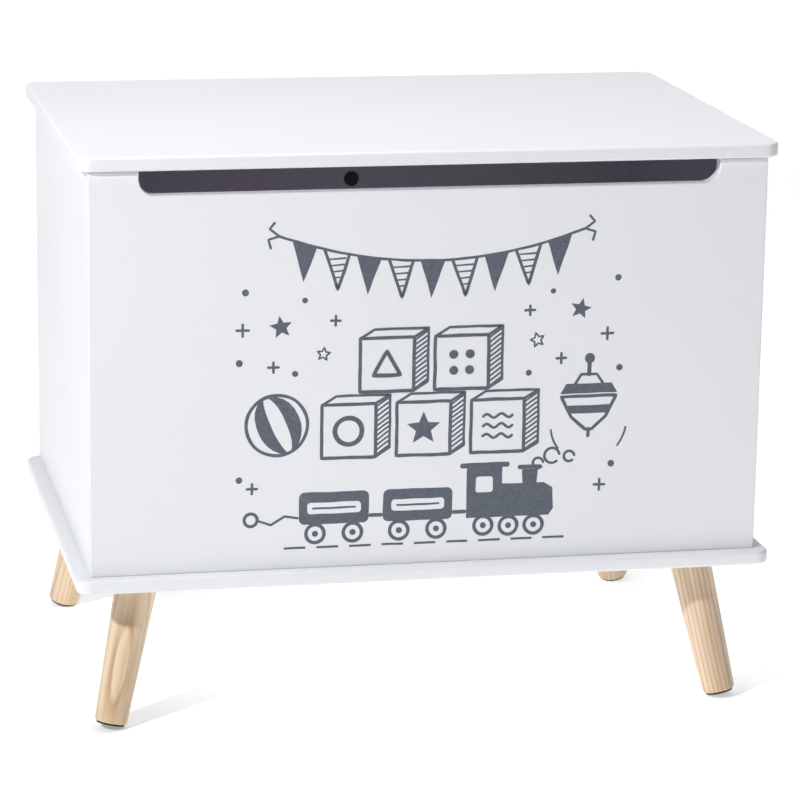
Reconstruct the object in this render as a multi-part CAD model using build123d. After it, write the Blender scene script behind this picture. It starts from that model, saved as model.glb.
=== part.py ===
# Toy box with a hinged lid, a finger slot in the front panel and four splayed pine legs.
# Knock-down furniture: 12 mm lacquered boards joined by cam fittings, dowels and screws.
# Millimetres. X runs to the right, Y to the back, Z up. The feet stand on Z = 0.
import math
import os

from build123d import *

os.makedirs("parts", exist_ok=True)

# ---------------------------------------------------------------- driving dimensions
BOARD = 12.0
WIDTH = 600.0
DEPTH = 420.0
HEIGHT = 495.0
LEG_SPACE = 128.0
LID_GAP = 1.0
LID_WIDTH = 596.0
SIDE_OVERHANG = 12.0
PLATE_FRONT_OVERHANG = 12.0
LID_FRONT_OVERHANG = 5.5
PLATE_CORNER = 12.0
LID_CORNER = 14.0
PLATE_EDGE = 3.0
LID_EDGE = 2.5
PANEL_EDGE = 1.2

SLOT_WIDTH = 492.0
SLOT_DEPTH = 20.0
SLOT_CORNER = 14.0

LEG_TOP_D = 36.0
LEG_FOOT_D = 28.0
LEG_X = 270.0
LEG_FRONT_INSET = 34.0
LEG_BACK_INSET = 26.0
SPLAY_X = 28.0
SPLAY_Y = 22.0
PAD_D = 24.0
PAD_T = 1.6
PAD_EDGE = 0.4

MOUNT_SIZE = 62.0
MOUNT_T = 2.0
HUB_R = 17.0
HANGER_CORE_D = 7.0
HANGER_D = 8.0
HANGER_WOOD = 30.0
HANGER_TOP = 9.5

BARREL_R = 5.5
AXIS_BACK = 6.0
LEAF_T = 1.6
LEAF_W = 60.0
LEAF_REACH = 50.0
LEAF_DROP = 46.0
KNUCKLE_HALF = 13.7
KNUCKLE_GAP = 0.3
PIN_R = 2.5
SLEEVE_BORE_R = 2.55
SLEEVE_R = 4.0
HINGE_X = 190.0

CAM_D = 15.0
CAM_DEPTH = 9.5
CAM_REACH = 24.0
DOWEL_D = 6.0
DOWEL_IN_PANEL = 8.0
DOWEL_IN_SIDE = 16.0

# ---------------------------------------------------------------- derived levels
OUTSIDE_DEPTH = DEPTH + AXIS_BACK + BARREL_R
PLATE_FRONT = -OUTSIDE_DEPTH / 2
BACK = PLATE_FRONT + DEPTH
FRONT = PLATE_FRONT + PLATE_FRONT_OVERHANG
LID_FRONT = FRONT - LID_FRONT_OVERHANG
FRONT_IN = FRONT + BOARD
BACK_IN = BACK - BOARD
SIDE_OUT = WIDTH / 2 - SIDE_OVERHANG
SIDE_IN = SIDE_OUT - BOARD
SIDE_MID = SIDE_OUT - BOARD / 2

PLATE_TOP = LEG_SPACE + BOARD
LID_UNDER = HEIGHT - BOARD
PANEL_TOP = LID_UNDER - LID_GAP
PANEL_H = PANEL_TOP - PLATE_TOP

AXIS_Y = BACK + AXIS_BACK
AXIS_Z = LID_UNDER - LEAF_T / 2

FOOT_Y_FRONT = PLATE_FRONT + LEG_FRONT_INSET
FOOT_Y_BACK = BACK - LEG_BACK_INSET
CAM_LEVELS = (PLATE_TOP + 60, PANEL_TOP - 56)
DOWEL_LEVELS = (PLATE_TOP + 30, PLATE_TOP + 165, PANEL_TOP - 28)

LEG_NAMES = {
    "front_left": (-1, -1),
    "front_right": (1, -1),
    "back_left": (-1, 1),
    "back_right": (1, 1),
}
HINGE_NAMES = {"left": -HINGE_X, "right": HINGE_X}


# ---------------------------------------------------------------- small helpers
def cylinder_along(start, direction, radius, length):
    """Solid cylinder that starts at a point and runs along a direction."""
    plane = Plane(origin=start, z_dir=direction)
    return extrude(plane * Circle(radius), amount=length)


def screw_solid(head_d, shank_d, length):
    """Countersunk screw without its recess: head face at Z = 0, point towards -Z."""
    head_h = (head_d - shank_d) / 2
    tip_h = shank_d * 0.8
    profile = Polyline(
        (0, 0),
        (head_d / 2, 0),
        (head_d / 2, -0.3),
        (shank_d / 2, -0.3 - head_h),
        (shank_d / 2, -length + tip_h),
        (0, -length),
        (0, 0),
    )
    return revolve(Plane.XZ * make_face(profile), Axis.Z)


def cross_recess(size, depth):
    """Cross-shaped recess cut into the top of a screw head or a cam."""
    bar = Box(size, size * 0.24, depth * 2)
    return bar + Rot(0, 0, 90) * bar


def place_all(solid, places):
    """The same solid at every place, kept as separate solids."""
    return [place * solid for place in places]


def group(solids):
    """Separate solids carried by one node."""
    return Compound(children=list(solids))


def cut_all(body, tools):
    """Body with every tool cut out of it."""
    for tool in tools:
        body = body - tool
    return body


def rounded_board(width, depth, thickness, corner, edge):
    """Board lying flat with rounded corners and rounded edges, its underside at Z = 0."""
    board = extrude(RectangleRounded(width, depth, corner), amount=thickness)
    top = board.faces().sort_by(Axis.Z)[-1]
    bottom = board.faces().sort_by(Axis.Z)[0]
    return fillet(top.edges() + bottom.edges(), edge)


# ---------------------------------------------------------------- fastener places
def panel_screw_places():
    """Screws that go up through the bottom plate into the four panels."""
    places = []
    for x in (-210, -70, 70, 210):
        places.append(Pos(x, FRONT + BOARD / 2, LEG_SPACE) * Rot(180, 0, 0))
        places.append(Pos(x, BACK - BOARD / 2, LEG_SPACE) * Rot(180, 0, 0))
    for side in (-1, 1):
        for y in (-110, 0, 110):
            places.append(Pos(side * SIDE_MID, y, LEG_SPACE) * Rot(180, 0, 0))
    return places


def corner_ends():
    """Each end of each side panel: side, the panel face it meets and the way into the side."""
    ends = []
    for side in (-1, 1):
        ends.append((side, FRONT_IN, 1))
        ends.append((side, BACK_IN, -1))
    return ends


def hinge_lid_screw_places(hinge_x):
    """Screws that hold a hinge's upper leaf to the underside of the lid."""
    under = LID_UNDER - LEAF_T
    spots = ((-20, -40), (0, -27), (20, -40))
    return [Pos(hinge_x + dx, AXIS_Y + dy, under) * Rot(180, 0, 0) for dx, dy in spots]


def hinge_box_screw_places(hinge_x):
    """Screws that hold a hinge's lower leaf to the outside of the back panel."""
    face = BACK + LEAF_T
    spots = ((-20, -20), (0, -36), (20, -20))
    return [Pos(hinge_x + dx, face, AXIS_Z + dz) * Rot(-90, 0, 0) for dx, dz in spots]


# ---------------------------------------------------------------- fasteners
PANEL_SCREW = screw_solid(8.0, 4.0, 40.0)
HINGE_SCREW = screw_solid(6.6, 3.4, 10.0)
MOUNT_SCREW = screw_solid(7.6, 4.0, 10.5)


def make_panel_screws():
    solid = PANEL_SCREW - cross_recess(4.6, 2.2)
    return place_all(solid, panel_screw_places())


def make_hinge_screws(places):
    solid = HINGE_SCREW - cross_recess(3.8, 1.5)
    return place_all(solid, places)


def make_dowels():
    """Beech dowels between the side panels and the front and back panels."""
    dowels = []
    length = DOWEL_IN_PANEL + DOWEL_IN_SIDE
    for side, face_y, way in corner_ends():
        for level in DOWEL_LEVELS:
            start = (side * SIDE_MID, face_y - way * DOWEL_IN_PANEL, level)
            dowel = cylinder_along(start, (0, way, 0), DOWEL_D / 2, length)
            ends = dowel.edges().filter_by(GeomType.CIRCLE)
            dowels.append(chamfer(ends, 0.6))
    return dowels


def make_cam_bolts():
    """Studs screwed into the front and back panels, their heads held by the cams."""
    studs = []
    for side, face_y, way in corner_ends():
        for level in CAM_LEVELS:
            axis = (0, way, 0)
            x = side * SIDE_MID
            thread = cylinder_along((x, face_y - way * 8.5, level), axis, 2.5, 8.5)
            shaft = cylinder_along((x, face_y, level), axis, 2.0, CAM_REACH - 3)
            head = cylinder_along((x, face_y + way * (CAM_REACH - 3), level), axis, 3.2, 4.5)
            studs.append(thread + shaft + head)
    return studs


def make_cam_locks():
    """Round cams let into the inner faces of the side panels."""
    cams = []
    for side, face_y, way in corner_ends():
        for level in CAM_LEVELS:
            centre_y = face_y + way * CAM_REACH
            start = (side * SIDE_IN, centre_y, level)
            cam = cylinder_along(start, (side, 0, 0), CAM_D / 2, CAM_DEPTH)
            x = side * SIDE_MID
            mouth = cylinder_along((x, face_y, level), (0, way, 0), 2.3, CAM_REACH)
            pocket_start = (x, face_y + way * (CAM_REACH - 3.4), level)
            pocket = cylinder_along(pocket_start, (0, way, 0), 3.4, 6.0)
            drive = Pos(*start) * Rot(0, 90, 0) * cross_recess(6.0, 1.6)
            cams.append(cam - mouth - pocket - drive)
    return cams


DOWELS = make_dowels()
CAM_BOLTS = make_cam_bolts()


# ---------------------------------------------------------------- legs
def leg_frame(side_x, side_y):
    """Foot point on the leg's axis at floor level and the unit vector up the leg."""
    foot_y = FOOT_Y_FRONT if side_y < 0 else FOOT_Y_BACK
    foot = Vector(side_x * LEG_X, foot_y, 0)
    up = Vector(-side_x * SPLAY_X, -side_y * SPLAY_Y, LEG_SPACE).normalized()
    return foot, up


def along_to_height(foot, up, height):
    """Point on a leg's axis at a given height."""
    return foot + up * (height / up.Z)


TILT = math.atan2(math.hypot(SPLAY_X, SPLAY_Y), LEG_SPACE)
PAD_CENTRE_Z = (PAD_D / 2 - PAD_EDGE) * math.sin(TILT) + PAD_EDGE * (1 - math.cos(TILT))
LEG_BASE_Z = PAD_CENTRE_Z + PAD_T * math.cos(TILT)
LEG_TOP_Z = LEG_SPACE - MOUNT_T - LEG_TOP_D / 2 * math.sin(TILT) - 0.6
LEG_LENGTH = (LEG_TOP_Z - LEG_BASE_Z) / math.cos(TILT)


def leg_place(side_x, side_y, height):
    """Plane square to a leg's axis at a given height."""
    foot, up = leg_frame(side_x, side_y)
    return Plane(origin=along_to_height(foot, up, height), z_dir=up)


def make_hanger_bolt(side_x, side_y):
    """Double-ended bolt: wood thread in the leg, machine thread in the angled mount."""
    place = leg_place(side_x, side_y, LEG_TOP_Z)
    lower = extrude(Circle(HANGER_CORE_D / 2), amount=-HANGER_WOOD)
    upper = extrude(Circle(HANGER_D / 2), amount=HANGER_TOP)
    bolt = lower + upper
    bolt = chamfer(bolt.edges().sort_by(Axis.Z)[-1], 0.8)
    return place.location * bolt


def make_leg(side_x, side_y):
    """Tapered round pine leg, square to its own axis at both ends."""
    profile = Polyline(
        (0, 0),
        (LEG_FOOT_D / 2, 0),
        (LEG_TOP_D / 2, LEG_LENGTH),
        (0, LEG_LENGTH),
        (0, 0),
    )
    leg = revolve(Plane.XZ * make_face(profile), Axis.Z)
    rims = leg.edges().filter_by(GeomType.CIRCLE).sort_by(Axis.Z)
    leg = fillet(rims[0], 2.2)
    rims = leg.edges().filter_by(GeomType.CIRCLE).sort_by(Axis.Z)
    leg = fillet(rims[-1], 0.8)
    leg = leg_place(side_x, side_y, LEG_BASE_Z).location * leg
    return leg - make_hanger_bolt(side_x, side_y)


def make_foot_pad(side_x, side_y):
    """Thin dark pad stuck under a leg."""
    pad = extrude(Circle(PAD_D / 2), amount=PAD_T)
    pad = fillet(pad.edges().sort_by(Axis.Z)[0], PAD_EDGE)
    return leg_place(side_x, side_y, PAD_CENTRE_Z).location * pad


def mount_centre(side_x, side_y):
    """Where a leg's axis meets the underside of the bottom plate."""
    foot, up = leg_frame(side_x, side_y)
    return along_to_height(foot, up, LEG_SPACE)


def mount_screw_places(side_x, side_y):
    centre = mount_centre(side_x, side_y)
    places = []
    for dx in (-23, 23):
        for dy in (-23, 23):
            spot = Pos(centre.X + dx, centre.Y + dy, LEG_SPACE - MOUNT_T)
            places.append(spot * Rot(180, 0, 0))
    return places


def make_leg_mount(side_x, side_y):
    """Steel plate with a hub whose lower face is square to the splayed leg."""
    centre = mount_centre(side_x, side_y)
    plate = extrude(RectangleRounded(MOUNT_SIZE, MOUNT_SIZE, 7), amount=MOUNT_T)
    plate = Pos(centre.X, centre.Y, LEG_SPACE - MOUNT_T) * plate
    hub = extrude(Circle(HUB_R), amount=25)
    hub = leg_place(side_x, side_y, LEG_TOP_Z).location * hub
    keep = Pos(centre.X, centre.Y, LEG_SPACE - MOUNT_T - 20) * Box(80, 80, 40)
    mount = plate + (hub & keep)
    mount = mount - make_hanger_bolt(side_x, side_y)
    screws = place_all(MOUNT_SCREW, mount_screw_places(side_x, side_y))
    return cut_all(mount, screws)


def all_mount_screws():
    solid = MOUNT_SCREW - cross_recess(4.2, 1.8)
    screws = []
    for side_x, side_y in LEG_NAMES.values():
        screws += place_all(solid, mount_screw_places(side_x, side_y))
    return screws


# ---------------------------------------------------------------- boards
def make_bottom_plate():
    """Bottom plate, also the floor of the box, with a hole for each leg bolt's tip."""
    plate = rounded_board(WIDTH, DEPTH, BOARD, PLATE_CORNER, PLATE_EDGE)
    plate = Pos(0, PLATE_FRONT + DEPTH / 2, LEG_SPACE) * plate
    plate = cut_all(plate, place_all(PANEL_SCREW, panel_screw_places()))
    for side_x, side_y in LEG_NAMES.values():
        plate = cut_all(plate, place_all(MOUNT_SCREW, mount_screw_places(side_x, side_y)))
        centre = mount_centre(side_x, side_y)
        start = (centre.X, centre.Y, LEG_SPACE)
        plate = plate - cylinder_along(start, (0, 0, 1), 6.5, 6.5)
    return plate


def wide_panel(outer_y, way):
    """Full-width upright board; its outer face is rounded over at every edge."""
    board = Box(2 * SIDE_OUT, BOARD, PANEL_H)
    board = Pos(0, outer_y + way * BOARD / 2, PLATE_TOP + PANEL_H / 2) * board
    return board


def round_outer_face(board, outer_y):
    """Round over the outline of the face that looks outwards."""
    faces = board.faces().filter_by(Axis.Y)
    outer = min(faces, key=lambda face: abs(face.center().Y - outer_y))
    return fillet(outer.edges(), PANEL_EDGE)


def slot_tool():
    """Finger slot: open at the top, rounded at its lower corners."""
    tall = 2 * SLOT_DEPTH
    sketch = RectangleRounded(SLOT_WIDTH, 2 * tall, SLOT_CORNER)
    tool = extrude(Plane.XZ * sketch, amount=BOARD * 2, both=True)
    return Pos(0, FRONT + BOARD / 2, PANEL_TOP - SLOT_DEPTH + tall) * tool


def make_front_panel():
    """Front panel, carrying the finger slot in its top edge."""
    panel = wide_panel(FRONT, 1) - slot_tool()
    panel = round_outer_face(panel, FRONT)
    inner = panel.faces().filter_by(Axis.Y).sort_by(Axis.Y)[-1]
    slot_edges = [
        edge
        for edge in inner.edges()
        if edge.center().Z < PANEL_TOP - 0.5
        and edge.center().Z > PANEL_TOP - SLOT_DEPTH - 1
        and abs(edge.center().X) < SLOT_WIDTH / 2 + 0.1
    ]
    panel = fillet(slot_edges, 0.8)
    panel = cut_all(panel, place_all(PANEL_SCREW, panel_screw_places()))
    return cut_all(panel, DOWELS + CAM_BOLTS)


def make_back_panel():
    """Back panel with shallow notches that let the hinge leaves pass over its top edge."""
    panel = round_outer_face(wide_panel(BACK, -1), BACK)
    notch_floor = AXIS_Z - LEAF_T / 2 - 0.8
    for hinge_x in HINGE_NAMES.values():
        notch = Box(LEAF_W + 2, BOARD * 2, 10)
        panel = panel - Pos(hinge_x, BACK - BOARD / 2, notch_floor + 5) * notch
        panel = cut_all(panel, place_all(HINGE_SCREW, hinge_box_screw_places(hinge_x)))
    panel = cut_all(panel, place_all(PANEL_SCREW, panel_screw_places()))
    panel = cut_all(panel, DOWELS + CAM_BOLTS)
    return panel - plug_shank()


def make_side_panel(side):
    """Side panel, held between the front and back panels."""
    length = BACK_IN - FRONT_IN
    panel = Box(BOARD, length, PANEL_H)
    panel = Pos(side * SIDE_MID, (BACK_IN + FRONT_IN) / 2, PLATE_TOP + PANEL_H / 2) * panel
    outer = panel.faces().filter_by(Axis.X).sort_by(Axis.X)[-1 if side > 0 else 0]
    top_edge = outer.edges().filter_by(Axis.Y).sort_by(Axis.Z)[-1]
    panel = fillet(top_edge, PANEL_EDGE)
    panel = cut_all(panel, place_all(PANEL_SCREW, panel_screw_places()))
    panel = cut_all(panel, DOWELS)
    for end_side, face_y, way in corner_ends():
        if end_side != side:
            continue
        for level in CAM_LEVELS:
            x = side * SIDE_MID
            bore = cylinder_along((x, face_y, level), (0, way, 0), 3.5, CAM_REACH + 2)
            start = (side * SIDE_IN, face_y + way * CAM_REACH, level)
            seat = cylinder_along(start, (side, 0, 0), CAM_D / 2, CAM_DEPTH)
            panel = panel - bore - seat
    return panel


def make_lid():
    """Flat lid, rounded at its corners and edges."""
    depth = BACK - LID_FRONT
    lid = rounded_board(LID_WIDTH, depth, BOARD, LID_CORNER, LID_EDGE)
    lid = Pos(0, (BACK + LID_FRONT) / 2, LID_UNDER) * lid
    for hinge_x in HINGE_NAMES.values():
        lid = cut_all(lid, place_all(HINGE_SCREW, hinge_lid_screw_places(hinge_x)))
    return lid


# ---------------------------------------------------------------- lid fittings
def make_lid_bumpers():
    """Thin soft dots on the panels' top edges that the closed lid rests on."""
    bumpers = []
    for x in (-266, 266):
        for y in (FRONT + BOARD / 2, BACK - BOARD / 2):
            dot = extrude(Circle(4), amount=LID_GAP)
            dot = chamfer(dot.edges().sort_by(Axis.Z)[-1], 0.2)
            bumpers.append(Pos(x, y, PANEL_TOP) * dot)
    return bumpers


PLUG_X = 7.0
PLUG_Z = PANEL_TOP - 82.0


def plug_shank():
    return cylinder_along((PLUG_X, BACK_IN, PLUG_Z), (0, 1, 0), 4, 8)


def make_back_panel_plug():
    """Dark plug in the inner face of the back panel."""
    cap = cylinder_along((PLUG_X, BACK_IN, PLUG_Z), (0, -1, 0), 7, 1.8)
    rim = cap.edges().filter_by(GeomType.CIRCLE).sort_by(Axis.Y)[0]
    cap = fillet(rim, 0.8)
    dish = Pos(PLUG_X, BACK_IN - 5.2, PLUG_Z) * Sphere(5)
    return cap - dish + plug_shank()


def barrel(hinge_x, start, end, outer_r, inner_r):
    """Length of hinge barrel between two offsets from the hinge's middle."""
    tube = Circle(outer_r) - Circle(inner_r)
    solid = extrude(Plane.YZ * tube, amount=end - start)
    return Pos(hinge_x + start, AXIS_Y, AXIS_Z) * solid


def make_hinge_box_leaf(hinge_x):
    """Lower leaf, screwed to the outside of the back panel, with the middle knuckle."""
    drop_top = -4.0
    height = LEAF_DROP + drop_top
    plate = Box(LEAF_W, LEAF_T, height)
    plate = Pos(hinge_x, BACK + LEAF_T / 2, AXIS_Z + drop_top - height / 2) * plate
    low_edges = plate.edges().filter_by(Axis.Y).sort_by(Axis.Z)[:2]
    plate = fillet(low_edges, 5)
    neck = Box(2 * KNUCKLE_HALF, LEAF_T, 4.0)
    neck = Pos(hinge_x, BACK + LEAF_T / 2, AXIS_Z - 3.5) * neck
    bore = cylinder_along(
        (hinge_x - KNUCKLE_HALF, AXIS_Y, AXIS_Z), (1, 0, 0), SLEEVE_R, 2 * KNUCKLE_HALF
    )
    leaf = plate + (neck - bore)
    leaf = leaf + barrel(hinge_x, -KNUCKLE_HALF, KNUCKLE_HALF, BARREL_R, SLEEVE_R)
    return cut_all(leaf, place_all(HINGE_SCREW, hinge_box_screw_places(hinge_x)))


def make_hinge_lid_leaf(hinge_x):
    """Upper leaf, screwed under the lid, with the two outer knuckles."""
    plate = Box(LEAF_W, LEAF_REACH, LEAF_T)
    plate = Pos(hinge_x, AXIS_Y - LEAF_REACH / 2, AXIS_Z) * plate
    front_edges = plate.edges().filter_by(Axis.Z).sort_by(Axis.Y)[:2]
    plate = fillet(front_edges, 5)
    inner = KNUCKLE_HALF + KNUCKLE_GAP
    window = Box(2 * inner, 2 * (BARREL_R + 0.8), 10)
    plate = plate - Pos(hinge_x, AXIS_Y, AXIS_Z) * window
    pin_hole = cylinder_along((hinge_x - LEAF_W / 2, AXIS_Y, AXIS_Z), (1, 0, 0), PIN_R, LEAF_W)
    leaf = plate - pin_hole
    leaf = leaf + barrel(hinge_x, -LEAF_W / 2, -inner, BARREL_R, PIN_R)
    leaf = leaf + barrel(hinge_x, inner, LEAF_W / 2, BARREL_R, PIN_R)
    return cut_all(leaf, place_all(HINGE_SCREW, hinge_lid_screw_places(hinge_x)))


def make_hinge_pin(hinge_x):
    """Pin fixed in the outer knuckles; it turns in the friction sleeve."""
    half = LEAF_W / 2 - 1.5
    return cylinder_along((hinge_x - half, AXIS_Y, AXIS_Z), (1, 0, 0), PIN_R, 2 * half)


def make_hinge_sleeve(hinge_x):
    """Split spring sleeve that grips the pin and holds the lid where it is left."""
    half = KNUCKLE_HALF - 0.2
    sleeve = barrel(hinge_x, -half, half, SLEEVE_R, SLEEVE_BORE_R)
    split = Box(4 * half, 1.2, SLEEVE_R)
    return sleeve - Pos(hinge_x, AXIS_Y, AXIS_Z - SLEEVE_R / 2 - 1.0) * split


def make_hinge_caps():
    """Plastic caps that close the barrels' outer ends."""
    caps = []
    for hinge_x in HINGE_NAMES.values():
        for way in (-1, 1):
            end_x = hinge_x + way * LEAF_W / 2
            disc = cylinder_along((end_x, AXIS_Y, AXIS_Z), (way, 0, 0), BARREL_R, 1.2)
            far = disc.edges().filter_by(GeomType.CIRCLE).sort_by(Axis.X)
            disc = fillet(far[-1 if way > 0 else 0], 0.6)
            peg = cylinder_along((end_x - way * 1.5, AXIS_Y, AXIS_Z), (way, 0, 0), PIN_R, 1.5)
            caps.append(disc + peg)
    return caps


# ---------------------------------------------------------------- export
def save(name, shape):
    export_step(shape, f"parts/{name}.step")


save("bottom_plate", make_bottom_plate())
save("front_panel", make_front_panel())
save("back_panel", make_back_panel())
save("left_side_panel", make_side_panel(-1))
save("right_side_panel", make_side_panel(1))
save("lid", make_lid())

for leg_name, (leg_x, leg_y) in LEG_NAMES.items():
    save(f"leg_{leg_name}", make_leg(leg_x, leg_y))
    save(f"foot_pad_{leg_name}", make_foot_pad(leg_x, leg_y))
    save(f"leg_mount_{leg_name}", make_leg_mount(leg_x, leg_y))

save("hanger_bolts", group(make_hanger_bolt(x, y) for x, y in LEG_NAMES.values()))
save("leg_mount_screws", group(all_mount_screws()))
save("panel_screws", group(make_panel_screws()))
save("panel_dowels", group(DOWELS))
save("cam_bolts", group(CAM_BOLTS))
save("cam_locks", group(make_cam_locks()))
save("lid_bumpers", group(make_lid_bumpers()))
save("back_panel_plug", make_back_panel_plug())

lid_screws = []
box_screws = []
for hinge_name, x_mid in HINGE_NAMES.items():
    save(f"hinge_box_leaf_{hinge_name}", make_hinge_box_leaf(x_mid))
    save(f"hinge_lid_leaf_{hinge_name}", make_hinge_lid_leaf(x_mid))
    save(f"hinge_pin_{hinge_name}", make_hinge_pin(x_mid))
    save(f"hinge_friction_sleeve_{hinge_name}", make_hinge_sleeve(x_mid))
    lid_screws += make_hinge_screws(hinge_lid_screw_places(x_mid))
    box_screws += make_hinge_screws(hinge_box_screw_places(x_mid))

save("hinge_caps", group(make_hinge_caps()))
save("hinge_lid_screws", group(lid_screws))
save("hinge_box_screws", group(box_screws))
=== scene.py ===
"""Looks of the toy box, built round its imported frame. Metres; X right, Y back, Z up."""

import math

import bpy
from mathutils import Matrix, Vector, geometry, noise


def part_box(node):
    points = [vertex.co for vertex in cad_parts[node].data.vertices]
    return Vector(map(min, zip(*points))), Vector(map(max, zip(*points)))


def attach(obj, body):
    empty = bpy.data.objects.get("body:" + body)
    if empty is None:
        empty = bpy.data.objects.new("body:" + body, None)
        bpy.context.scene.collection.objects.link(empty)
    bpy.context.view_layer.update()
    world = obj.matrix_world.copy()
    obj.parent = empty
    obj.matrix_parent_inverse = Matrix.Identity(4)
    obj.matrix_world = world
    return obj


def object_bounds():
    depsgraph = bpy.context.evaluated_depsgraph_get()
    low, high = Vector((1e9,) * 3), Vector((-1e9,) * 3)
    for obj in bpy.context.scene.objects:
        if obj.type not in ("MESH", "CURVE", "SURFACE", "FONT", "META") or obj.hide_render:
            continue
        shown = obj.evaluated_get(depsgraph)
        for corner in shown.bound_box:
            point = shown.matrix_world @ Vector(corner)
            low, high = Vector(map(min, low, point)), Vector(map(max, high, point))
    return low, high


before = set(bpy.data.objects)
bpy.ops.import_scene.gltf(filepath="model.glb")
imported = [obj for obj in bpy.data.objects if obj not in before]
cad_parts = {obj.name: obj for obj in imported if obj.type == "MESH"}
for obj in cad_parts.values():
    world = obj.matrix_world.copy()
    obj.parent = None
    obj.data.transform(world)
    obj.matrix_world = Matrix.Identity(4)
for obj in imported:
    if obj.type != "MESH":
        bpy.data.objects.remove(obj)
CAD_LOW, CAD_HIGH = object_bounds()
CENTRE = (CAD_LOW + CAD_HIGH) / 2
MM = 0.001

# ---------------------------------------------------------------- camera
CAMERA_AZIMUTH = -11.89
CAMERA_ELEVATION = 13.83
CAMERA_ROLL = 0.83
CAMERA_DISTANCE = 3.127
CAMERA_LENS = 156.7
SENSOR_WIDTH = 36
CAMERA_AIM = CENTRE + Vector((0.0150, -0.0066, -0.0138))


def make_camera():
    """Long lens, a little left of the front and a little above the lid."""
    azimuth = math.radians(CAMERA_AZIMUTH)
    elevation = math.radians(CAMERA_ELEVATION)
    roll = math.radians(CAMERA_ROLL)
    back = Vector((
        math.sin(azimuth) * math.cos(elevation),
        -math.cos(azimuth) * math.cos(elevation),
        math.sin(elevation),
    ))
    level = Vector((math.cos(azimuth), math.sin(azimuth), 0))
    upright = back.cross(level)
    right = level * math.cos(roll) + upright * math.sin(roll)
    up = upright * math.cos(roll) - level * math.sin(roll)
    camera = bpy.data.objects.new("camera", bpy.data.cameras.new("camera"))
    camera.data.lens = CAMERA_LENS
    camera.data.sensor_width = SENSOR_WIDTH
    camera.data.clip_start = 0.1
    camera.data.clip_end = 60
    turn = Matrix((right, up, back)).transposed().to_4x4()
    camera.matrix_world = Matrix.Translation(CAMERA_AIM + back * CAMERA_DISTANCE) @ turn
    bpy.context.scene.collection.objects.link(camera)
    bpy.context.scene.camera = camera


# ---------------------------------------------------------------- light and floor
# Strength of the sky straight ahead of the box and straight behind it; it fades to the sides.
SKY_FRONT = 0.08
SKY_BACK = 0.76

# Painted light: the floor glows, most in the key lamp's shadow to fill that shadow in, and far
# away.
# Glow of the floor, as from, to, least and most: along the key lamp's shadow, and far away.
AWAY_FROM_KEY = (0.8, 0.6, 0.0)
PAINTED_SHADOW_FILL = (-0.8, 0.4, 0.12, 0.62)
PAINTED_DISTANT_LIGHT = (1.6, 4.0, 0.0, 0.22)
FLOOR_HALF = 14.0

# Lamps: place, what they point at, diameter, power and colour.
WHITE = (1.0, 1.0, 1.0)
LAMPS = {
    "overhead": ((0.02, -0.20, 2.20), (0.0, 0.0, 0.24), 1.00, 18.5, WHITE),
    "key": ((-1.78, -1.46, 1.72), (0.0, -0.2, 0.30), 0.12, 45.5, WHITE),
}

# Very weak lamp in the shut box, so that the finger slot is dark grey and not black.
INSIDE_GLOW = ((0.0, -0.17, 0.30), (0.0, 0.19, 0.36), 0.22, 0.050, (1.0, 0.83, 1.02))


def make_lamp(name, place, target, diameter, power, colour):
    """Round soft lamp that lights the scene but is never seen itself."""
    lamp = bpy.data.lights.new(name, "AREA")
    lamp.shape = "DISK"
    lamp.size = diameter
    lamp.energy = power
    lamp.color = colour
    light = bpy.data.objects.new(name, lamp)
    light.location = place
    way = Vector(place) - Vector(target)
    light.rotation_euler = way.to_track_quat("Z", "Y").to_euler()
    light.visible_camera = False
    bpy.context.scene.collection.objects.link(light)
    return light


def make_lamps():
    """A soft lamp overhead, a small key lamp on the left, and the glow inside the box."""
    for name, settings in LAMPS.items():
        make_lamp(name, *settings)
    glow = make_lamp("inside_glow", *INSIDE_GLOW)
    glow.visible_glossy = False


def make_sky():
    """White studio surround, bright behind the box, faint before it, dark at its sides."""
    world = bpy.data.worlds.new("studio")
    world.use_nodes = True
    tree = world.node_tree
    background = tree.nodes["Background"]
    background.inputs["Color"].default_value = (1.0, 1.0, 1.0, 1.0)
    where = tree.nodes.new("ShaderNodeTexCoord")
    parts = tree.nodes.new("ShaderNodeSeparateXYZ")
    tree.links.new(where.outputs["Generated"], parts.inputs["Vector"])
    strength = 0.0
    for way, gain in ((1.0, SKY_BACK), (-1.0, SKY_FRONT)):
        toward = math_node(tree, "MULTIPLY", parts.outputs["Y"], way)
        lobe = math_node(tree, "MAXIMUM", toward, 0.0)
        strength = math_node(tree, "MULTIPLY_ADD", lobe, gain, strength)
    tree.links.new(strength, background.inputs["Strength"])
    bpy.context.scene.world = world


def make_floor():
    """One large sheet of pale paper under the box."""
    half = FLOOR_HALF
    mesh = bpy.data.meshes.new("floor")
    corners = [(-half, -half, 0), (half, -half, 0), (half, half, 0), (-half, half, 0)]
    mesh.from_pydata(corners, [], [(0, 1, 2, 3)])
    floor = bpy.data.objects.new("floor", mesh)
    bpy.context.scene.collection.objects.link(floor)
    mesh.materials.append(floor_paper())


# ---------------------------------------------------------------- node helpers
def linear(red, green, blue):
    """Linear colour of an sRGB colour given in 0 to 255."""
    out = []
    for value in (red, green, blue):
        part = value / 255
        out.append(part / 12.92 if part <= 0.04045 else ((part + 0.055) / 1.055) ** 2.4)
    return (*out, 1.0)


def feed(tree, value, socket):
    """Feed a socket from another socket, or give it a plain value."""
    if isinstance(value, bpy.types.NodeSocket):
        tree.links.new(value, socket)
    else:
        socket.default_value = value


def math_node(tree, operation, *values):
    """Result of a math node on sockets or plain numbers."""
    node = tree.nodes.new("ShaderNodeMath")
    node.operation = operation
    for value, socket in zip(values, node.inputs):
        feed(tree, value, socket)
    return node.outputs["Value"]


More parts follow.
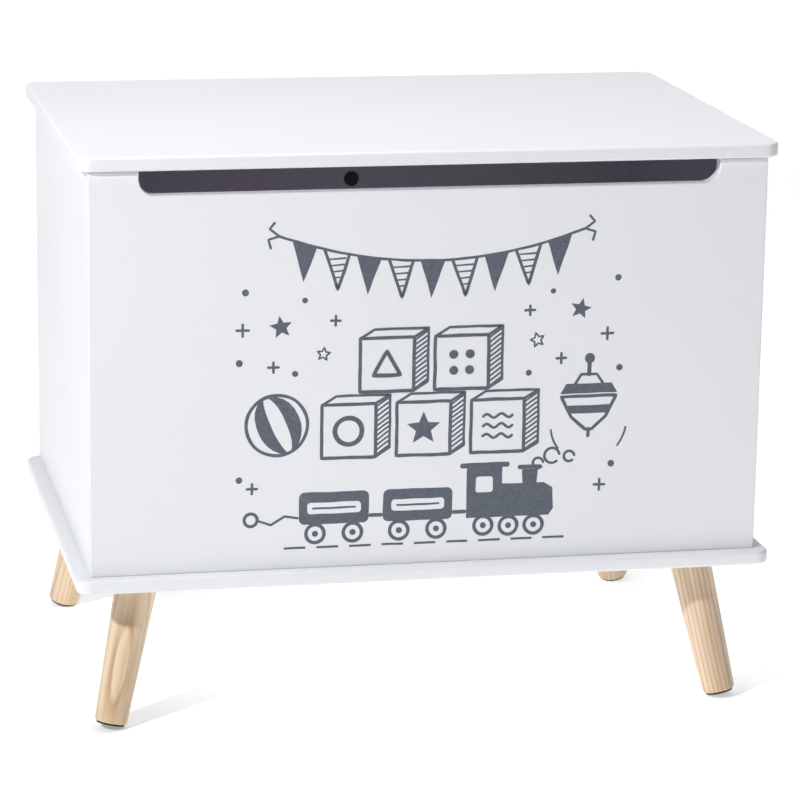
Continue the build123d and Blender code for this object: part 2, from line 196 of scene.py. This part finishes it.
class Surface:
    """A node material under construction."""

    def __init__(self, name):
        self.material = bpy.data.materials.new(name)
        self.material.use_nodes = True
        self.tree = self.material.node_tree
        self.shader = self.tree.nodes["Principled BSDF"]
        self.coords = self.add("ShaderNodeTexCoord").outputs["Object"]

    def add(self, kind, **settings):
        node = self.tree.nodes.new(kind)
        for key, value in settings.items():
            setattr(node, key, value)
        return node

    def plug(self, value, socket):
        feed(self.tree, value, socket)

    def math(self, operation, *values):
        return math_node(self.tree, operation, *values)

    def vector(self, operation, *values):
        """Result of a vector node: a number for a length or a dot product, else a vector."""
        node = self.add("ShaderNodeVectorMath", operation=operation)
        for value, socket in zip(values, node.inputs):
            self.plug(value, socket)
        return node.outputs["Value" if operation in ("LENGTH", "DOT_PRODUCT") else "Vector"]

    def noise(self, scale, detail=2.0, roughness=0.5, vector=None):
        """Noise from 0 to 1. Scale is in features per metre."""
        node = self.add("ShaderNodeTexNoise")
        self.plug(vector if vector is not None else self.coords, node.inputs["Vector"])
        node.inputs["Scale"].default_value = scale
        node.inputs["Detail"].default_value = detail
        node.inputs["Roughness"].default_value = roughness
        return node.outputs["Fac"]

    def cells(self, scale):
        """Distance to the middle of the nearest of many small cells."""
        node = self.add("ShaderNodeTexVoronoi", feature="F1")
        self.plug(self.coords, node.inputs["Vector"])
        node.inputs["Scale"].default_value = scale
        return node.outputs["Distance"]

    def span(self, value, low, high, to_low=0.0, to_high=1.0):
        """Map one range of a value to another, clamped."""
        node = self.add("ShaderNodeMapRange")
        self.plug(value, node.inputs["Value"])
        node.inputs["From Min"].default_value = low
        node.inputs["From Max"].default_value = high
        node.inputs["To Min"].default_value = to_low
        node.inputs["To Max"].default_value = to_high
        return node.outputs["Result"]

    def mix(self, factor, first, second, blend="MIX"):
        """Mix two colours; the mix node keeps its colour sockets at places 6, 7 and 2."""
        node = self.add("ShaderNodeMix", data_type="RGBA", blend_type=blend)
        self.plug(factor, node.inputs["Factor"])
        self.plug(first, node.inputs[6])
        self.plug(second, node.inputs[7])
        return node.outputs[2]

    def ramp(self, value, stops):
        """Grey ramp through (position, level) stops."""
        node = self.add("ShaderNodeValToRGB")
        self.plug(value, node.inputs["Fac"])
        points = node.color_ramp.elements
        while len(points) < len(stops):
            points.new(0.5)
        for point, (position, level) in zip(points, stops):
            point.position = position
            point.color = (level, level, level, 1.0)
        return node.outputs["Color"]

    def bump(self, height, depth, strength=1.0):
        """Bump the surface by a height from 0 to 1 that stands for a depth in metres."""
        node = self.add("ShaderNodeBump")
        node.inputs["Strength"].default_value = strength
        node.inputs["Distance"].default_value = depth
        self.plug(height, node.inputs["Height"])
        last = self.shader.inputs["Normal"]
        if last.is_linked:
            self.plug(last.links[0].from_socket, node.inputs["Normal"])
        self.plug(node.outputs["Normal"], last)

    def set(self, **values):
        """Set the shader's sockets; underscores stand for spaces."""
        for key, value in values.items():
            self.plug(value, self.shader.inputs[key.replace("_", " ")])


# ---------------------------------------------------------------- materials
def floor_paper():
    """Pale matt paper with painted light: a faint glow that fills the key lamp's shadow and the far
    floor.
    """
    s = Surface("floor_paper")
    tone = s.span(s.noise(3.0, 3.0), 0.3, 0.7)
    s.set(Base_Color=s.mix(tone, (0.93, 0.93, 0.93, 1), (0.95, 0.95, 0.95, 1)))
    s.set(Roughness=0.9, Specular_IOR_Level=0.1)
    # Painted light: emission fills in the key lamp's shadow on the floor and brightens the far
    # floor.
    away = s.vector("DOT_PRODUCT", s.coords, AWAY_FROM_KEY)
    distance = s.vector("LENGTH", s.coords)
    glow = s.math("ADD", s.span(away, *PAINTED_SHADOW_FILL), s.span(distance, *PAINTED_DISTANT_LIGHT))
    s.set(Emission_Color=(1.0, 1.0, 1.0, 1.0), Emission_Strength=glow)
    return s.material


# Sprayed lacquer: its two nearly equal whites, and how deep its orange peel and its runs are.
LACQUER_DIM = (0.838, 0.850, 0.888, 1)
LACQUER_FULL = (0.860, 0.871, 0.908, 1)
PEEL_DEPTH = 0.05 * MM
RUN_DEPTH = 0.25 * MM


def lacquer(name, offset):
    """White satin lacquer sprayed on fibreboard: fine orange peel and soft, uneven sheen."""
    s = Surface(name)
    place = s.vector("ADD", s.coords, offset)
    tone = s.noise(4.0, 3.0, vector=place)
    sheen = s.noise(9.0, 4.0, 0.6, vector=place)
    s.set(Base_Color=s.mix(s.span(tone, 0.3, 0.7), LACQUER_DIM, LACQUER_FULL))
    s.set(Roughness=s.span(sheen, 0.25, 0.75, 0.33, 0.45), Specular_IOR_Level=0.5)
    peel = s.noise(420.0, 2.0, 0.4, vector=place)
    s.bump(peel, PEEL_DEPTH, 0.35)
    runs = s.noise(38.0, 2.0, 0.5, vector=place)
    s.bump(runs, RUN_DEPTH, 0.25)
    return s.material


# Pine: sRGB colours of the wood between its rings, of its rings and of its dark fibres.
PINE_PALE = (234, 214, 185)
PINE_BODY = (217, 189, 153)
PINE_RING = (172, 126, 88)
PINE_FIBRE = (150, 108, 76)

# How the wood darkens across one ring, from its pale spring wood to its dark summer wood.
RING_PROFILE = ((0.0, 0.0), (0.50, 0.05), (0.80, 0.50), (0.92, 1.0), (1.0, 0.0))

# Features per metre across and along the grain.
GRAIN_WANDER = (34.0, 34.0, 9.0)
GRAIN_FIBRE = (1500.0, 1500.0, 28.0)
GRAIN_BAND = (170.0, 170.0, 7.0)


def pine(name, origin, turn, growth, seed, tint, contrast):
    """Varnished pine; rings round a pith that lies beside the leg, fibres along the leg."""
    pith, ring_width, shift, arch, middle, wavy = growth
    s = Surface(name)
    local = s.add("ShaderNodeMapping", vector_type="TEXTURE")
    s.plug(s.coords, local.inputs["Vector"])
    local.inputs["Location"].default_value = origin
    local.inputs["Rotation"].default_value = turn
    grain = local.outputs["Vector"]
    shifted = s.vector("ADD", grain, (seed * 0.37, seed * 0.21, seed * 0.83))
    slow = s.vector("MULTIPLY", shifted, GRAIN_WANDER)
    wander = s.math("SUBTRACT", s.noise(1.0, 2.0, 0.5, vector=slow), 0.5)
    across = s.vector("MULTIPLY", s.vector("SUBTRACT", grain, pith), (1.0, 1.0, 0.0))
    radius = s.vector("LENGTH", across)
    height = s.math("SUBTRACT", s.vector("DOT_PRODUCT", grain, (0.0, 0.0, 1.0)), middle)
    bow = s.math("MULTIPLY", s.math("MULTIPLY", height, height), arch)
    rings = s.math("MULTIPLY", s.math("SUBTRACT", radius, bow), 1.0 / ring_width)
    rings = s.math("ADD", rings, s.math("MULTIPLY", wander, wavy))
    phase = s.math("FRACT", s.math("ADD", rings, shift))
    late = s.ramp(phase, RING_PROFILE)
    streaks = s.vector("MULTIPLY", shifted, GRAIN_FIBRE)
    fibre = s.noise(1.0, 3.0, 0.6, vector=streaks)
    wide = s.vector("MULTIPLY", shifted, GRAIN_BAND)
    band = s.noise(1.0, 2.0, 0.5, vector=wide)
    ground = s.mix(s.span(band, 0.3, 0.72), linear(*PINE_PALE), linear(*PINE_BODY))
    strength = s.math("MULTIPLY", late, s.span(band, 0.2, 0.8, contrast * 0.7, contrast))
    wood = s.mix(strength, ground, linear(*PINE_RING))
    darker = s.mix(0.18, wood, linear(*PINE_FIBRE))
    wood = s.mix(s.span(fibre, 0.48, 0.78, 0.0, 0.75), wood, darker)
    wood = s.mix(1.0, wood, tint, blend="MULTIPLY")
    s.set(Base_Color=wood, Roughness=s.span(fibre, 0.2, 0.8, 0.38, 0.54))
    s.set(Coat_Weight=0.35, Coat_Roughness=0.36)
    s.bump(late, 0.05 * MM, 0.5)
    s.bump(fibre, 0.04 * MM, 0.6)
    return s.material


def beech():
    """Plain turned beech with short darker flecks along the dowel."""
    s = Surface("beech_dowel")
    stretched = s.vector("MULTIPLY", s.coords, (900.0, 60.0, 900.0))
    fleck = s.noise(1.0, 3.0, 0.6, vector=stretched)
    wood = s.mix(s.span(fleck, 0.35, 0.7), linear(214, 176, 132), linear(178, 134, 92))
    s.set(Base_Color=wood, Roughness=0.7)
    s.bump(fleck, 0.06 * MM, 0.6)
    return s.material


def plated_steel(name, colour, rough_low, rough_high, spangle):
    """Plated steel: slightly uneven gloss with a faint crystal pattern and rolling lines."""
    s = Surface(name)
    cell = s.cells(spangle)
    rolled = s.vector("MULTIPLY", s.coords, (90.0, 2500.0, 2500.0))
    lines = s.noise(1.0, 3.0, 0.6, vector=rolled)
    dimmer = [0.86 * part for part in colour[:3]] + [1]
    shade = s.mix(s.span(cell, 0.0, 0.9), colour, dimmer)
    s.set(Base_Color=shade, Metallic=1.0)
    s.set(Roughness=s.span(lines, 0.25, 0.75, rough_low, rough_high))
    s.bump(lines, 0.01 * MM, 0.5)
    return s.material


def cast_zinc():
    """Dull cast zinc with fine pits."""
    s = Surface("cast_zinc")
    pits = s.noise(1600.0, 3.0, 0.6)
    s.set(Base_Color=s.mix(pits, (0.46, 0.47, 0.48, 1), (0.60, 0.61, 0.62, 1)), Metallic=1.0)
    s.set(Roughness=s.span(pits, 0.3, 0.7, 0.42, 0.6))
    s.bump(pits, 0.03 * MM, 0.7)
    return s.material


def moulded_plastic(name, colour, roughness):
    """Moulded plastic with a fine spark-eroded texture."""
    s = Surface(name)
    grain = s.noise(2600.0, 2.0, 0.5)
    paler = [min(1.0, part * 1.15 + 0.004) for part in colour[:3]] + [1]
    s.set(Base_Color=s.mix(s.noise(60.0, 2.0), colour, paler))
    s.set(Roughness=s.span(grain, 0.3, 0.7, roughness - 0.06, roughness + 0.06))
    s.bump(grain, 0.02 * MM, 0.6)
    return s.material


def black_foam():
    """Closed-cell foam: matt, with small open cells on its cut edge."""
    s = Surface("black_foam")
    cell = s.cells(2200.0)
    s.set(Base_Color=s.mix(cell, (0.010, 0.010, 0.011, 1), (0.030, 0.030, 0.031, 1)))
    s.set(Roughness=0.85)
    s.bump(cell, 0.12 * MM, 0.8)
    return s.material


def clear_rubber():
    """Slightly milky clear rubber."""
    s = Surface("clear_rubber")
    haze = s.noise(900.0, 2.0)
    s.set(Base_Color=s.mix(haze, (0.80, 0.81, 0.80, 1), (0.90, 0.90, 0.88, 1)))
    s.set(Roughness=0.35, Transmission_Weight=0.35, IOR=1.45)
    s.bump(haze, 0.01 * MM, 0.4)
    return s.material


INK_DARK = (84, 92, 103)
INK_LIGHT = (101, 108, 119)
WORN_THROUGH = (0.70, 0.70, 0.71, 1)


def print_ink():
    """Slate screen-print ink with worn white specks where it is thin."""
    s = Surface("print_ink")
    patch = s.span(s.noise(26.0, 3.0, 0.6), 0.50, 0.72)
    speck = s.noise(1500.0, 3.0, 0.65)
    gap = s.math("ADD", s.math("MULTIPLY", patch, 0.16), speck)
    bare = s.span(gap, 0.74, 0.80)
    tone = s.span(s.noise(300.0, 3.0, 0.6), 0.3, 0.7)
    ink = s.mix(tone, linear(*INK_DARK), linear(*INK_LIGHT))
    s.set(Base_Color=s.mix(bare, ink, WORN_THROUGH))
    s.set(Roughness=s.span(tone, 0.0, 1.0, 0.48, 0.6), Specular_IOR_Level=0.4)
    s.bump(speck, 0.02 * MM, 0.4)
    return s.material


def dress(node, material):
    """Give a CAD node one material all over."""
    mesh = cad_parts[node].data
    mesh.materials.clear()
    mesh.materials.append(material)


BOARDS = (
    "bottom_plate", "front_panel", "back_panel", "left_side_panel", "right_side_panel", "lid",
)
FASTENERS = (
    "hanger_bolts", "leg_mount_screws", "panel_screws", "cam_bolts", "hinge_lid_screws",
    "hinge_box_screws",
)

# Each board's lacquer is read from its own part of the noise.
BOARD_STEP = Vector((1.7, 0.9, 2.3))

# How far a leg leans in X and in Y over its height.
LEG_SPLAY = Vector((0.028, 0.022, 0.128))

# How each leg's wood grew: where the pith lies beside the leg's axis, ring width, ring shift,
# how much the rings bow along the leg and at what height, and how wavy they are.
GROWTH = {
    "front_left": ((0.0025, 0.0120, 0.0), 3.5 * MM, 0.25, 0.5, 0.019, 0.12),
    "front_right": ((-0.0850, 0.0120, 0.0), 3.9 * MM, 0.0, 0.1, 0.0, 0.9),
    "back_left": ((0.0900, 0.0150, 0.0), 3.2 * MM, 0.0, 0.1, 0.0, 0.9),
    "back_right": ((0.0120, -0.0750, 0.0), 3.4 * MM, 0.0, 0.1, 0.0, 0.9),
}

# Each leg: which way it splays in X and Y, seed, tint and how strongly the rings show.
LEGS = {
    "front_left": ((-1, -1), 1, (1.0, 0.99, 0.97, 1), 0.70),
    "front_right": ((1, -1), 2, (0.99, 0.965, 0.985, 1), 0.80),
    "back_left": ((-1, 1), 3, (1.0, 0.975, 0.965, 1), 0.62),
    "back_right": ((1, 1), 4, (1.0, 0.98, 0.97, 1), 0.70),
}


def dress_legs():
    """Pine on each leg, its grain along the leg's own axis."""
    for name, (ways, seed, tint, contrast) in LEGS.items():
        low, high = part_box("foot_pad_" + name)
        up = Vector((-ways[0] * LEG_SPLAY.x, -ways[1] * LEG_SPLAY.y, LEG_SPLAY.z))
        turn = Vector((0, 0, 1)).rotation_difference(up.normalized()).to_euler()
        origin = (low + high) / 2
        wood = pine("pine_" + name, origin, turn, GROWTH[name], seed, tint, contrast)
        dress("leg_" + name, wood)


def dress_frame():
    """A material on every CAD node."""
    for index, board in enumerate(BOARDS):
        dress(board, lacquer("lacquer_" + board, index * BOARD_STEP))
    dress_legs()
    zinc = plated_steel("zinc_plated_steel", (0.70, 0.72, 0.75, 1), 0.26, 0.42, 260.0)
    nickel = plated_steel("nickel_plated_steel", (0.50, 0.49, 0.475, 1), 0.20, 0.34, 700.0)
    spring = plated_steel("spring_steel", (0.20, 0.21, 0.23, 1), 0.30, 0.45, 900.0)
    foam = black_foam()
    for name in LEGS:
        dress("foot_pad_" + name, foam)
        dress("leg_mount_" + name, zinc)
    for node in FASTENERS:
        dress(node, zinc)
    dress("cam_locks", cast_zinc())
    dress("panel_dowels", beech())
    dress("lid_bumpers", clear_rubber())
    dress("back_panel_plug", moulded_plastic("dark_plastic", (0.090, 0.078, 0.072, 1), 0.26))
    dress("hinge_caps", moulded_plastic("white_plastic", (0.74, 0.74, 0.73, 1), 0.42))
    for side in ("left", "right"):
        for part in ("hinge_box_leaf_", "hinge_lid_leaf_", "hinge_pin_"):
            dress(part + side, nickel)
        dress("hinge_friction_sleeve_" + side, spring)


# ---------------------------------------------------------------- printed motif
FRONT_LOW, FRONT_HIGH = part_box("front_panel")
PLATE_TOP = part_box("bottom_plate")[1].z
PRINT_DROP = 20 * MM
PRINT_HEIGHT = (PLATE_TOP + FRONT_HIGH.z) / 2 - PRINT_DROP
PRINT_CENTRE = Vector((0.0, FRONT_LOW.y, PRINT_HEIGHT))
INK_THICKNESS = 0.06 * MM
INK_GAP = 0.01 * MM
LAYER_STEP = 0.002 * MM

# In millimetres of the drawing: how far a hand strays, over what length, and the path's step.
WOBBLE = 0.45
WOBBLE_LENGTH = 16.0
DRAW_STEP = 1.6
CAP_STEPS = 7

# How much a pen line's width breathes and how soon, a star's waist, and the least face drawn.
BREATH = 0.16
BREATH_PACE = 0.13
STAR_WAIST = 0.45
LEAST_AREA = 1e-6


def wobbled(point, seed):
    """A point of the drawing in millimetres, moved a little as a hand would."""
    where = Vector((point[0] / WOBBLE_LENGTH, point[1] / WOBBLE_LENGTH, seed * 3.7))
    shake = noise.noise_vector(where)
    return Vector((point[0] + WOBBLE * shake.x, point[1] + WOBBLE * shake.y))


def divided(points, closed):
    """The same path with points every step or so."""
    path = [Vector(p) for p in points]
    if closed:
        path.append(path[0])
    out = []
    for start, end in zip(path, path[1:]):
        count = max(1, round((end - start).length / DRAW_STEP))
        out += [start.lerp(end, i / count) for i in range(count)]
    if not closed:
        out.append(path[-1])
    return out


def arc(centre, radius, start, end):
    """Points along an arc from one angle to another, in degrees."""
    count = max(4, int(abs(end - start) * radius / 90) + 4)
    points = []
    for i in range(count + 1):
        angle = math.radians(start + (end - start) * i / count)
        x = centre[0] + radius * math.cos(angle)
        points.append((x, centre[1] + radius * math.sin(angle)))
    return points


def rounded_box(low, high, radius):
    """Outline of a box with rounded corners, anticlockwise."""
    corners = (
        ((high[0] - radius, high[1] - radius), 0),
        ((low[0] + radius, high[1] - radius), 90),
        ((low[0] + radius, low[1] + radius), 180),
        ((high[0] - radius, low[1] + radius), 270),
    )
    points = []
    for centre, angle in corners:
        points += arc(centre, radius, angle, angle + 90)
    return points


class Drawing:
    """Flat ink shapes on the front panel, drawn in millimetres from the print's centre."""

    def __init__(self, name, seed):
        self.name = name
        self.seed = seed
        self.points = []
        self.faces = []
        self.layer = 0

    def _place(self, flat_points):
        """Add points on the ink's next layer and return the number of the first."""
        first = len(self.points)
        y = PRINT_CENTRE.y - INK_GAP - INK_THICKNESS - self.layer * LAYER_STEP
        for p in flat_points:
            self.points.append((PRINT_CENTRE.x + p[0] * MM, y, PRINT_CENTRE.z + p[1] * MM))
        return first

    def line(self, points, width=2.3, closed=False):
        """A pen line with round ends; its width breathes a little."""
        path = [wobbled(p, self.seed) for p in divided(points, closed)]
        count = len(path)
        lefts, rights = [], []
        for i, here in enumerate(path):
            before = path[i - 1] if closed or i else here
            after = path[(i + 1) % count] if closed or i < count - 1 else here
            along = (after - before).normalized()
            breathing = noise.noise(Vector((i * BREATH_PACE, self.seed * 5.1, width)))
            half = width / 2 * (1 + BREATH * breathing)
            normal = Vector((-along.y, along.x)) * half
            lefts.append(here + normal)
            rights.append(here - normal)
        first = self._place(lefts + rights)
        for i in range(count if closed else count - 1):
            j = (i + 1) % count
            self.faces.append((first + i, first + count + i, first + count + j, first + j))
        if not closed:
            self._cap(path[-1], rights[-1], lefts[-1])
            self._cap(path[0], lefts[0], rights[0])
        self.layer += 1

    def _cap(self, centre, start, end):
        """Half disc on the end of a line, from one side round to the other."""
        reach = start - centre
        rim = []
        for i in range(CAP_STEPS + 1):
            turn = Matrix.Rotation(math.pi * i / CAP_STEPS, 2)
            rim.append(centre + turn @ reach)
        rim[-1] = end
        first = self._place(rim)
        self.faces.append(tuple(range(first, first + len(rim))))

    def fill(self, outline, holes=()):
        """A solid shape, anticlockwise, with holes left white."""
        loops = []
        for loop in (outline, *holes):
            loops.append([wobbled(p, self.seed) for p in divided(loop, True)])
        flat = [p for loop in loops for p in loop]
        lifted = [[Vector((p.x, p.y, 0)) for p in loop] for loop in loops]
        first = self._place(flat)
        for a, b, c in geometry.tessellate_polygon(lifted):
            pa, pb, pc = flat[a], flat[b], flat[c]
            area = (pb - pa).cross(pc - pa)
            if abs(area) < LEAST_AREA:
                continue
            corners = (a, b, c) if area > 0 else (a, c, b)
            self.faces.append(tuple(first + k for k in corners))
        self.layer += 1

    def dot(self, centre, radius):
        """Solid round spot."""
        self.fill(arc(centre, radius, 0, 345))

    def star(self, centre, radius, turn=0.0, solid=True):
        """Plain five-pointed star."""
        points = []
        for i in range(10):
            angle = math.radians(90 + turn + 36 * i)
            reach = radius if i % 2 == 0 else radius * STAR_WAIST
            x = centre[0] + reach * math.cos(angle)
            points.append((x, centre[1] + reach * math.sin(angle)))
        if solid:
            self.fill(points)
        else:
            self.line(points, 1.5, closed=True)

    def finish(self, material):
        """Make one thin film of ink of all the shapes; it moves with the box."""
        mesh = bpy.data.meshes.new(self.name)
        mesh.from_pydata(self.points, [], self.faces)
        mesh.materials.append(material)
        mesh.update()
        piece = bpy.data.objects.new(self.name, mesh)
        bpy.context.scene.collection.objects.link(piece)
        film = piece.modifiers.new("film", "SOLIDIFY")
        film.thickness = INK_THICKNESS
        film.offset = -1.0
        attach(piece, "box")


def draw_bunting():
    """A string of flags hung in a shallow curve across the top."""
    d = Drawing("print_bunting", 1)
    half, top, sag = 122.0, 132.0, 21.0

    def on_string(x):
        return top - sag * (1 - (x / half) ** 2)

    d.line([(x, on_string(x)) for x in range(-130, 131, 4)], 2.2)
    count = 9
    for i in range(count):
        x = -half + 2 * half * (i + 0.5) / count
        left, right = x - 10.5, x + 10.5
        tip = (x + (1.0 if i % 2 else -1.0), on_string(x) - 32.0)
        flag = [(left, on_string(left)), tip, (right, on_string(right))]
        if i % 2 == 0:
            d.fill(flag)
            continue
        d.line(flag, 2.6)
        for share in (0.20, 0.38, 0.56, 0.74):
            height = on_string(x) - 30.0 * share
            reach = 9.0 * (1 - share)
            d.line([(x - reach, height), (x + reach, height + 0.6)], 1.5)
    for side in (-1, 1):
        end = (side * 130, on_string(130))
        d.line([end, (side * 138, end[1] + 6), (side * 134, end[1] + 11)], 2.0)
        d.line([end, (side * 139, end[1] - 3), (side * 137, end[1] - 10)], 2.0)
    return d


def draw_symbol(d, middle, reach, symbol):
    """Plain shape on the face of a block."""
    x, y = middle
    if symbol == "ring":
        d.line(arc(middle, reach, 0, 345), 4.0, closed=True)
    elif symbol == "peak":
        corners = [(x - reach, y - reach * 0.8), (x + reach, y - reach * 0.8), (x, y + reach)]
        d.line(corners, 3.2, closed=True)
    elif symbol == "star":
        d.star(middle, reach * 1.3)
    elif symbol == "waves":
        for row in (-1, 0, 1):
            wave = []
            for step in range(17):
                along = x + reach * 1.1 * (step / 8 - 1)
                wave.append((along, y + row * reach * 0.75 + 1.8 * math.sin(step * math.pi / 4)))
            d.line(wave, 2.4)
    else:
        for row in (-1, 1):
            for column in (-1, 1):
                d.dot((x + column * reach * 0.6, y + row * reach * 0.6), reach * 0.34)


def draw_block(d, low, size, depth, symbol):
    """One toy block in outline, its right side hatched and a plain shape on its face."""
    x, y = low
    right, top = x + size, y + size
    lift = depth * 0.62
    d.line([(x, y), (right, y), (right, top), (x, top)], 2.9, closed=True)
    far_right, far_top = right + depth, top + lift
    d.line([(x, top), (x + depth, far_top), (far_right, far_top), (right, top)], 2.3)
    d.line([(far_right, far_top), (far_right, far_top - size), (right, y)], 2.3)
    hatches = 11
    for i in range(hatches):
        height = y + size * (i + 0.5) / hatches
        d.line([(right + 1.4, height), (far_right - 1.4, height + lift * 0.9)], 1.55)
    draw_symbol(d, (x + size / 2, y + size / 2), size * 0.25, symbol)


def draw_blocks():
    """Five toy blocks stacked in two rows."""
    d = Drawing("print_blocks", 2)
    size, depth, pitch = 46.0, 12.0, 64.0
    floor = -56.0
    start = -93.0
    for i, symbol in enumerate(("ring", "star", "waves")):
        draw_block(d, (start + pitch * i, floor), size, depth, symbol)
    second = floor + size + depth * 0.62 + 2.8
    for i, symbol in enumerate(("peak", "spots")):
        draw_block(d, (start + pitch * (i + 0.5), second), size, depth, symbol)
    return d


def draw_ball():
    """Ball with two dark panels, left of the blocks."""
    d = Drawing("print_ball", 3)
    centre, radius = Vector((-131.0, -26.0)), 26.0
    tilt = Matrix.Rotation(math.radians(24), 2)

    def meridian(reach):
        path = []
        for step in range(13):
            angle = math.pi * step / 12
            path.append(centre + tilt @ Vector((reach * math.sin(angle), radius * math.cos(angle))))
        return path

    d.line(arc(centre, radius, 0, 352), 2.8, closed=True)
    for left, right in ((-17.0, -5.0), (8.0, 20.0)):
        d.fill(meridian(left) + list(reversed(meridian(right)))[1:-1])
    return d


def draw_spinning_top():
    """Spinning top, right of the blocks."""
    d = Drawing("print_spinning_top", 4)
    x, y = 137.0, -42.0
    cup = [(x - 24, y + 32), (x - 15, y + 14), (x - 3, y + 3), (x + 3, y + 3), (x + 15, y + 14),
           (x + 24, y + 32)]
    d.line(cup, 2.8, closed=True)
    d.fill([(x - 25, y + 34.5), (x + 25, y + 34.5), (x + 20, y + 43), (x - 20, y + 43)])
    d.line([(x - 12, y + 43), (x - 7, y + 51), (x + 7, y + 51), (x + 12, y + 43)], 2.4)
    d.line([(x, y + 51), (x, y + 62)], 3.4)
    d.dot((x, y + 65), 4.4)
    d.fill([(x - 16, y + 17), (x + 16, y + 17), (x + 20, y + 24), (x - 20, y + 24)])
    d.line([(x, y + 3), (x, y - 3)], 2.8)
    for start, end in ((-38, -8), (188, 218)):
        d.line(arc((x, y + 8), 33.0, start, end), 1.8)
    return d


def draw_wheels(d, centres, radius):
    """Wheels in outline, each with a hub."""
    for centre in centres:
        d.line(arc(centre, radius, 0, 345), 2.9, closed=True)
        d.dot(centre, radius * 0.34)


def draw_train():
    """Solid pull-along train with plain windows, along the bottom."""
    d = Drawing("print_train", 5)
    base = -124.0
    deck = base + 11.0
    for x in (-112.0, -40.0):
        wagon = rounded_box((x, deck), (x + 60, deck + 28), 5)
        window = rounded_box((x + 7, deck + 9), (x + 53, deck + 19), 3)
        d.fill(wagon, [window])
        d.line([(x + 12, deck + 14), (x + 48, deck + 14)], 1.7)
        draw_wheels(d, ((x + 14, base + 3), (x + 46, base + 3)), 7.8)
        d.line([(x + 61.5, deck + 6), (x + 70.5, deck + 6)], 3.0)
    x = 32.0
    engine = [
        (x, deck), (x + 72, deck), (x + 76, deck + 6), (x + 75, deck + 24), (x + 67, deck + 29),
        (x + 61, deck + 29), (x + 62, deck + 41), (x + 48, deck + 41), (x + 49, deck + 29),
        (x + 31, deck + 29), (x + 31, deck + 44), (x, deck + 44),
    ]
    window = rounded_box((x + 8, deck + 22), (x + 23, deck + 36), 2.5)
    d.fill(engine, [window])
    d.line([(x - 4, deck + 46), (x + 35, deck + 46)], 4.4)
    d.line([(x + 46, deck + 43), (x + 64, deck + 43)], 3.8)
    draw_wheels(d, ((x + 15, base + 4), (x + 37, base + 3), (x + 59, base + 3)), 7.8)
    d.line([(-113, deck + 6), (-124, deck + 8), (-136, deck + 1), (-147, deck + 5)], 2.0)
    d.line(arc((-153, deck + 6), 5.5, 0, 345), 2.6, closed=True)
    for i in range(9):
        start = -124 + i * 28
        d.line([(start, base - 9.0), (start + 17, base - 9.0)], 1.9)
    for along, up, radius in ((94, 46, 4.5), (106, 52, 6.5), (121, 51, 4.5)):
        d.line(arc((along, deck + up), radius, 10, 310), 2.2)
    return d


def draw_sprinkles():
    """Small stars, dots and crosses between the toys."""
    d = Drawing("print_sprinkles", 6)
    d.star((-128, 58), 10.0, 8)
    d.star((128, 66), 9.5, -12)
    d.star((-92, 34), 6.0, -8, solid=False)
    d.star((91, 40), 6.5, 14, solid=False)
    dots = (
        (-158, 88, 3.0), (-108, 80, 2.4), (-163, 28, 3.0), (-116, 18, 2.6), (84, 12, 2.6),
        (160, 92, 2.8), (163, 14, 2.8), (158, -70, 3.0), (-163, -72, 2.8), (104, 82, 2.4),
    )
    for x, y, radius in dots:
        d.dot((x, y), radius)
    crosses = (
        (-160, 56, 5.0), (-82, 62, 4.0), (-134, 24, 4.4), (112, 24, 4.2), (152, 44, 5.0),
        (84, 66, 4.0), (-152, -80, 4.2), (148, -88, 4.6),
    )
    for x, y, reach in crosses:
        d.line([(x - reach, y), (x + reach, y)], 2.1)
        d.line([(x, y - reach), (x, y + reach)], 2.1)
    return d


def print_front():
    """The whole motif, one piece for each drawing."""
    ink = print_ink()
    drawings = (draw_bunting, draw_blocks, draw_ball, draw_spinning_top, draw_train, draw_sprinkles)
    for draw in drawings:
        draw().finish(ink)


# ---------------------------------------------------------------- the scene
bpy.context.scene.view_settings.view_transform = "Standard"
make_camera()
make_sky()
make_lamps()
make_floor()
dress_frame()
print_front()
